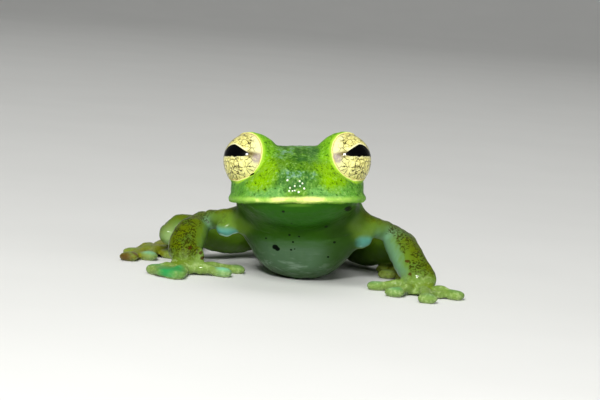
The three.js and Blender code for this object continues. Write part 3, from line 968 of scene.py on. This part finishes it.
def spotAndShadeShare(f, fine, place, x, w, u):
    # the dark spots of the breast with painted shade at the jaw's corner, and the dash on the lid
    across, deep, high = place
    nearest = None
    for middle, up, half in breastSpotsAndShade:
        dx = (across - middle) / half
        dz = (high - up) / (half * 0.85)
        away = dx * dx + dz * dz
        nearest = away if nearest is None else nearest.atMost(away)
    # dark spots, and painted shade at the jaw's corner
    spots = (nearest + (fine - 0.5) * 1.2).fall(0.6, 1.3) * deep.fall(-4.6, -3.8)
    along = x - lidDash["across"]
    above = w - lidDash["up"] - along * lidDash["slope"]
    dash = along * along / lidDash["length"] + above * above / lidDash["width"]
    return spots.atLeast(dash.fall(0.6, 1.4) * u.fall(3.4, 4.0))


def skinFinish():
    f = Finish("glassFrogSkin", skinColours)
    x, u, w = f.place("headPlace")
    place = [axis * 1000 for axis in f.split(f.coordinate)]
    grain = f.vector("MULTIPLY", f.coordinate, (1.0, 0.45, 1.0))  # longer along the body
    fine = f.noise(3400, 4, 0.62, grain)
    middle = f.noise(1100, 3, 0.55, grain)
    broad = f.noise(330, 3, 0.5, grain)
    speckle = f.noise(6400)
    limbShare = (f.mark("limb") + f.mark("ends")).atMost(1.0)
    back = f.mark("dorsal") * (1 - limbShare)
    face = faceColour(f, (fine, middle, broad, speckle), x, w, u)
    colour = f.mix(trunkColour(f, middle, place), face, back)
    colour = lipColour(f, colour, fine, middle, x, w, u)
    colour = f.mix(colour, limbColour(f, fine, middle, speckle, f.cells(4600)), limbShare)
    relief = f.cells(5200, source=grain) * 0.5 + fine * 0.6
    return f.shade(
        Base_Color=f.mix(colour, "spotAndShade", spotAndShadeShare(f, fine, place, x, w, u)),
        Roughness=fine * 0.2 + 0.3,
        Normal=f.node("ShaderNodeBump", inputs={"Height": relief, "Strength": 0.25, "Distance": 0.00005}),
        IOR=1.36,
        Specular_IOR_Level=0.1,
        Subsurface_Weight=0.15,
        Subsurface_Radius=(0.8, 1.0, 0.4),
        Subsurface_Scale=0.0004,
        Coat_Weight=limbShare * 0.4,
        Coat_Roughness=0.06,
        Coat_IOR=1.36,
    )


# The eyes: a cap of the eyeball that tucks under the lids
eyeBuild = {
    "segments": 112,
    "rings": 46,
    "reach": 74.0,  # degrees from the eye's axis to the cap's edge
    "inset": 0.13,  # how far the edge turns inward
    "bulge": 0.17,  # how far the middle stands out
    "bulgeReach": 55.0,  # degrees
}
pupil = {
    "middle": 40.0,  # degrees outward from straight ahead
    "half": 38.0,
    "floor": 8.4,  # degrees up
    "arch": 20.5,
    "peak": 0.04,  # how far the arch's top is off its middle
    "corner": 4.6,  # how far its ends lie above its floor
    "tilt": 1.5,  # how much lower its outer end is
}
eyeColours = {
    "iris": (240, 235, 158),
    "irisYellow": (224, 216, 128),
    "irisWhite": (228, 224, 172),
    "vein": (46, 38, 0),
    "pupil": (3, 3, 4),
    "border": (236, 232, 186),
    "streak": (92, 76, 36),
    "lilac": (156, 136, 142),
}


def makeEye(name, side):
    axis = eyeAxis(side)
    right = np.cross(axis, [0, 0, 1])
    right /= np.linalg.norm(right)
    up = np.cross(right, axis)
    build = eyeBuild
    radius, count, reach = eyeShape["radius"], build["segments"], math.radians(build["reach"])

    # rings out to the edge and then inward behind it, each with its angle and its radius
    angles = reach * np.arange(1, build["rings"] + 1) / build["rings"]
    lengths = radius + build["bulge"] * (1 - smoothStep(0, math.radians(build["bulgeReach"]), angles))
    angles = np.append(angles, [reach, reach / 2])
    lengths = np.append(lengths, [radius - build["inset"], radius - 3 * build["inset"]])
    around = 2 * math.pi * np.arange(count) / count
    spokes = np.cos(around)[:, None] * right + np.sin(around)[:, None] * up
    rings = np.cos(angles)[:, None, None] * axis + np.sin(angles)[:, None, None] * spokes
    directions = np.vstack([axis, rings.reshape(-1, 3), axis])
    lengths = np.hstack([radius + build["bulge"], np.repeat(lengths, count), radius - 3 * build["inset"]])
    points = fromHead(eyeCentre(side) + directions * lengths[:, None])
    triangles, quads = [], []
    inner, last = 1 + (len(angles) - 1) * count, len(points) - 1
    for s in range(count):
        t = (s + 1) % count
        triangles += [(1 + t, 1 + s, 0), (last, inner + s, inner + t)]
        for a in range(1, inner, count):
            quads.append((a + t, a + count + t, a + count + s, a + s))
    return meshObject(name, points, triangles + quads, look=directions * (side, -1, 1))


def eyeFinish():
    f = Finish("frogEye", eyeColours)
    out, ahead, up = f.place("look")
    degree = 180 / math.pi
    turn = f.math("ARCTAN2", out, ahead) * degree
    lift = f.math("ARCSINE", up) * degree
    look = f.node("ShaderNodeCombineXYZ", inputs={0: out, 1: ahead, 2: up})
    soft = f.noise(3.2, 3, 0.55, look)
    small = f.noise(11, 3, 0.6, look)
    bend = f.stirred(f.stirred(look, 5.0, 0.14), 20.0, 0.06)

    # a cream iris, yellower outward and below, whiter towards the snout, with fine dark veins
    yellow = small.rise(0.36, 0.52) * (turn.rise(4, 45) * 0.5 + 0.5) * turn.rise(-14, 4)
    yellow = (yellow + lift.rise(20, 34) * small.rise(0.3, 0.6) * 0.6).atMost(1.0)
    veins = f.cells(4.4, "DISTANCE_TO_EDGE", bend).fall(0.005, 0.08) * soft.rise(0.36, 0.48)
    finer = f.cells(9.5, "DISTANCE_TO_EDGE", bend).fall(0.0, 0.15) * small.rise(0.42, 0.54)
    cracks = (veins + finer * (turn.rise(-10, 30) * 0.3 + 0.25)).atMost(0.95)

    # the pupil: a lopsided arch over a nearly flat floor
    along = (turn - pupil["middle"]) / pupil["half"]
    fromPeak = along - pupil["peak"]
    slope = 1.35 + fromPeak.rise(-0.1, 0.1) * 0.8
    arch = (1 - fromPeak.size() ** slope).atLeast(0.0)
    corner = pupil["corner"] - along * pupil["tilt"]
    uneven = (f.noise(5, 2, source=look) - 0.5) * 9.0
    floor = pupil["floor"] + corner * (along * along) ** 3.0 + uneven
    roof = pupil["floor"] + corner + pupil["arch"] * arch
    above, below = lift - roof, floor - lift
    inside = (roof - lift).rise(-0.7, 0.7) * (lift - floor).rise(-0.7, 0.7) * along.size().fall(0.98, 1.02)

    # a pale border around it, and from its inner end a dark streak with lilac below
    border = above.rise(-0.5, 0.6) * above.fall(1.6, 4.2) * 0.8
    border = border.atLeast(below.rise(-0.5, 0.5) * below.fall(0.8, 2.8) * 0.5)
    lilac = turn.fall(-8, 2) * (lift - 6).size().fall(5, 15) * small.rise(0.2, 0.5)
    spread = 3.2 + turn.rise(-22, 6) * 6.5
    streak = ((lift - 14.0).size() / spread).fall(0.1, 1.1) * turn.fall(8, 18) * turn.rise(-24, 2)
    colour = f.coated(
        "iris",
        ("irisYellow", yellow),
        ("irisWhite", turn.fall(-12, 10) * 0.6),
        ("vein", cracks * turn.rise(-18, 2)),
        ("border", border * along.size().fall(0.75, 1.0)),
        ("lilac", lilac * 0.85),
        ("streak", (streak * (0.7 + small * 0.5)).atMost(0.95)),
        ("pupil", inside),
    )
    return f.shade(
        Base_Color=colour,
        Roughness=0.3,
        IOR=1.36,
        Specular_IOR_Level=0.05,
        Coat_Weight=1.0,
        Coat_Roughness=0.02,
        Coat_IOR=1.26,
    )


# The snout's pale dots: across, up from the mouth's line, and half their size
snoutDots = [
    (-0.67, 1.69, 0.085),
    (0.22, 1.62, 0.075),
    (0.42, 1.46, 0.07),
    (-0.14, 1.27, 0.07),
    (0.25, 1.27, 0.055),
    (-0.48, 1.13, 0.07),
    (0.55, 1.08, 0.08),
    (-0.55, 0.91, 0.065),
    (-0.30, 0.91, 0.06),
    (-0.14, 0.94, 0.06),
    (0.15, 0.83, 0.085),
]
dotColours = {"cream": (226, 240, 196), "white": (250, 252, 236)}
dotBuild = {
    "flatness": 0.5,  # how far a dot stands out, next to its half size
    "scale": 1.0,
    "start": -4.0,  # where the search for the skin begins, in front of the snout
}


def dotTree(material):
    # a flattened ball on each point, facing out, and the identifiers of its two sizes
    tree = bpy.data.node_groups.new("paleDots", "GeometryNodeTree")
    face = tree.interface
    face.new_socket("Geometry", in_out="INPUT", socket_type="NodeSocketGeometry")
    size = face.new_socket("Size", in_out="INPUT", socket_type="NodeSocketFloat")
    flatness = face.new_socket("Flatness", in_out="INPUT", socket_type="NodeSocketFloat")
    face.new_socket("Geometry", in_out="OUTPUT", socket_type="NodeSocketGeometry")

    def add(kind, inputs=None, **settings):
        return addNode(tree, kind, settings, inputs)

    start = add("NodeGroupInput")
    stored = "GeometryNodeInputNamedAttribute"
    half = add(stored, {"Name": "half"})["Attribute"]
    facing = add(stored, {"Name": "facing"}, data_type="FLOAT_VECTOR")["Attribute"]
    turn = add("FunctionNodeAlignRotationToVector", {"Vector": facing}, axis="Z")[0]
    wide = add("ShaderNodeMath", {0: half, 1: start["Size"]}, operation="MULTIPLY")[0]
    low = add("ShaderNodeMath", {0: wide, 1: start["Flatness"]}, operation="MULTIPLY")[0]
    scale = add("ShaderNodeCombineXYZ", {0: wide, 1: wide, 2: low})[0]
    ball = add("GeometryNodeMeshIcoSphere", {"Subdivisions": 3, "Radius": 1.0})["Mesh"]
    inputs = {"Points": start["Geometry"], "Instance": ball, "Rotation": turn, "Scale": scale}
    placed = add("GeometryNodeInstanceOnPoints", inputs)["Instances"]
    real = add("GeometryNodeRealizeInstances", {"Geometry": placed})["Geometry"]
    painted = add("GeometryNodeSetMaterial", {"Geometry": real, "Material": material})["Geometry"]
    add("NodeGroupOutput", {"Geometry": painted})
    return tree, size.identifier, flatness.identifier


def dotFinish():
    f = Finish("paleDots", dotColours)
    grain = f.noise(9000)
    return f.shade(
        Base_Color=f.mix("cream", "white", grain.rise(0.35, 0.65)),
        Roughness=0.3 + grain * 0.1,
        Coat_Weight=0.4,
        Coat_Roughness=0.15,
        Subsurface_Weight=0.2,
        Subsurface_Scale=0.0002,
    )


def makeDots(skin):
    mesh = skin.data
    tree = BVHTree.FromPolygons([v.co for v in mesh.vertices], [tuple(p.vertices) for p in mesh.polygons])
    ahead = Vector(headTurn[:, 1])
    points, facing = [], []
    for x, w, _ in snoutDots:
        start = Vector(fromHead((x, dotBuild["start"], w)) * mm)
        hit, normal, _, _ = tree.ray_cast(start, ahead)
        points.append(np.array(hit) / mm)
        facing.append(normal)
    halves = [half * mm for _, _, half in snoutDots]
    dots = meshObject("snoutDots", points, [], half=halves, facing=facing)
    nodes, size, flatness = dotTree(dotFinish())
    modifier = dots.modifiers.new("dots", "NODES")
    modifier.node_group = nodes
    modifier[size] = dotBuild["scale"]
    modifier[flatness] = dotBuild["flatness"]
    print("dots:", len(snoutDots), "on the snout")
    return applied(dots, modifier)


# Studio: a pale sweep, soft lights and the camera

studio = {
    "colours": {"floor": (226, 226, 222), "grain": (220, 220, 216)},
    "halfWidth": 1.2,  # metres
    "back": 0.7,
    "front": -0.7,
    "bend": 0.3,
    "bendSteps": 16,
    "height": 1.2,
    "air": (0.92, 0.95, 1.0, 1),
    "airStrength": 0.1,
}
view = {
    "lens": 165.0,  # on a sensor 36 mm wide
    "clip": (0.005, 20.0),  # metres
    "distance": 200.0,  # millimetres from the aim
    "elevation": 6.0,
    "roll": 4.5,
    "aim": (-0.863, -11.0, 6.50),  # a little above the upper lip's middle
    "right": 0.218,  # from the aim to the picture's middle
    "up": 0.2545,
}

# soft lights: place in millimetres, width in metres, and power
softLights = {
    "keyLight": ((-110, -300, 340), 0.2, 1.35),
    "fillLight": ((280, -280, 120), 0.3, 0.35),
    "topLight": ((60, 160, 400), 0.4, 0.6),
}
lightAim = (-0.4, -6, 5)
flashLight = {"toward": (-0.085, -0.905, 0.415), "distance": 230.0, "width": 0.04, "power": 0.33}


def makeFloor():
    bend, half = studio["bend"], studio["halfWidth"]
    angles = np.linspace(0, math.pi / 2, studio["bendSteps"] + 1)
    curve = [(studio["back"] - bend + bend * math.sin(a), bend * (1 - math.cos(a))) for a in angles]
    rows = [(studio["front"], 0.0), *curve, (studio["back"], studio["height"])]
    points = [(x, y, z) for y, z in rows for x in (-half, half)]
    faces = [(2 * k, 2 * k + 1, 2 * k + 3, 2 * k + 2) for k in range(len(rows) - 1)]
    floor = meshObject("studioFloor", np.array(points) / mm, faces)
    f = Finish("studioFloor", studio["colours"])
    floor.data.materials.append(f.shade(Base_Color=f.mix("floor", "grain", f.noise(60)), Roughness=0.7))


def makeCamera():
    tip, roll = math.radians(90 - view["elevation"]), math.radians(view["roll"])
    turn = Matrix.Rotation(tip, 4, "X") @ Matrix.Rotation(roll, 4, "Z")
    place = Vector(view["aim"]) + turn @ Vector((view["right"], view["up"], view["distance"]))
    data = bpy.data.cameras.new("camera")
    data.lens = view["lens"]
    data.clip_start, data.clip_end = view["clip"]
    camera = linked("camera", data)
    camera.matrix_world = Matrix.Translation(place * mm) @ turn
    bpy.context.scene.camera = camera


def makeLight(name, place, size, power, mirrored=False):
    # only the small flash shows in glossy skin and eyes, as glints
    data = bpy.data.lights.new(name, "AREA")
    data.shape = "DISK"
    data.size = size
    data.energy = power
    light = linked(name, data)
    light.location = Vector(place) * mm
    light.visible_glossy = mirrored
    aim = (Vector(lightAim) - Vector(place)).normalized()
    light.rotation_euler = aim.to_track_quat("-Z", "Y").to_euler()


def makeStudio():
    makeFloor()
    makeCamera()
    for name, settings in softLights.items():
        makeLight(name, *settings)
    flash = fromHead(np.array(flashLight["toward"]) * flashLight["distance"])
    makeLight("flash", flash, flashLight["width"], flashLight["power"], mirrored=True)
    world = bpy.data.worlds.new("studio")
    world.use_nodes = True
    air = world.node_tree.nodes["Background"].inputs
    air["Color"].default_value = studio["air"]
    air["Strength"].default_value = studio["airStrength"]
    bpy.context.scene.world = world
    bpy.context.scene.view_settings.view_transform = "Standard"


skin = makeSkin()
skin.data.materials.append(skinFinish())
dots = makeDots(skin)
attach(skin, "root")
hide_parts(*[name for names in regions.values() for name in names])
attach(dots, "root")
eyeMaterial = eyeFinish()
for side, sign in sides.items():
    eye = makeEye(f"{side}Eye", sign)
    eye.data.materials.append(eyeMaterial)
    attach(eye, "root")
    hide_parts(f"eye_{side}")
print("eyes: two")
makeStudio()
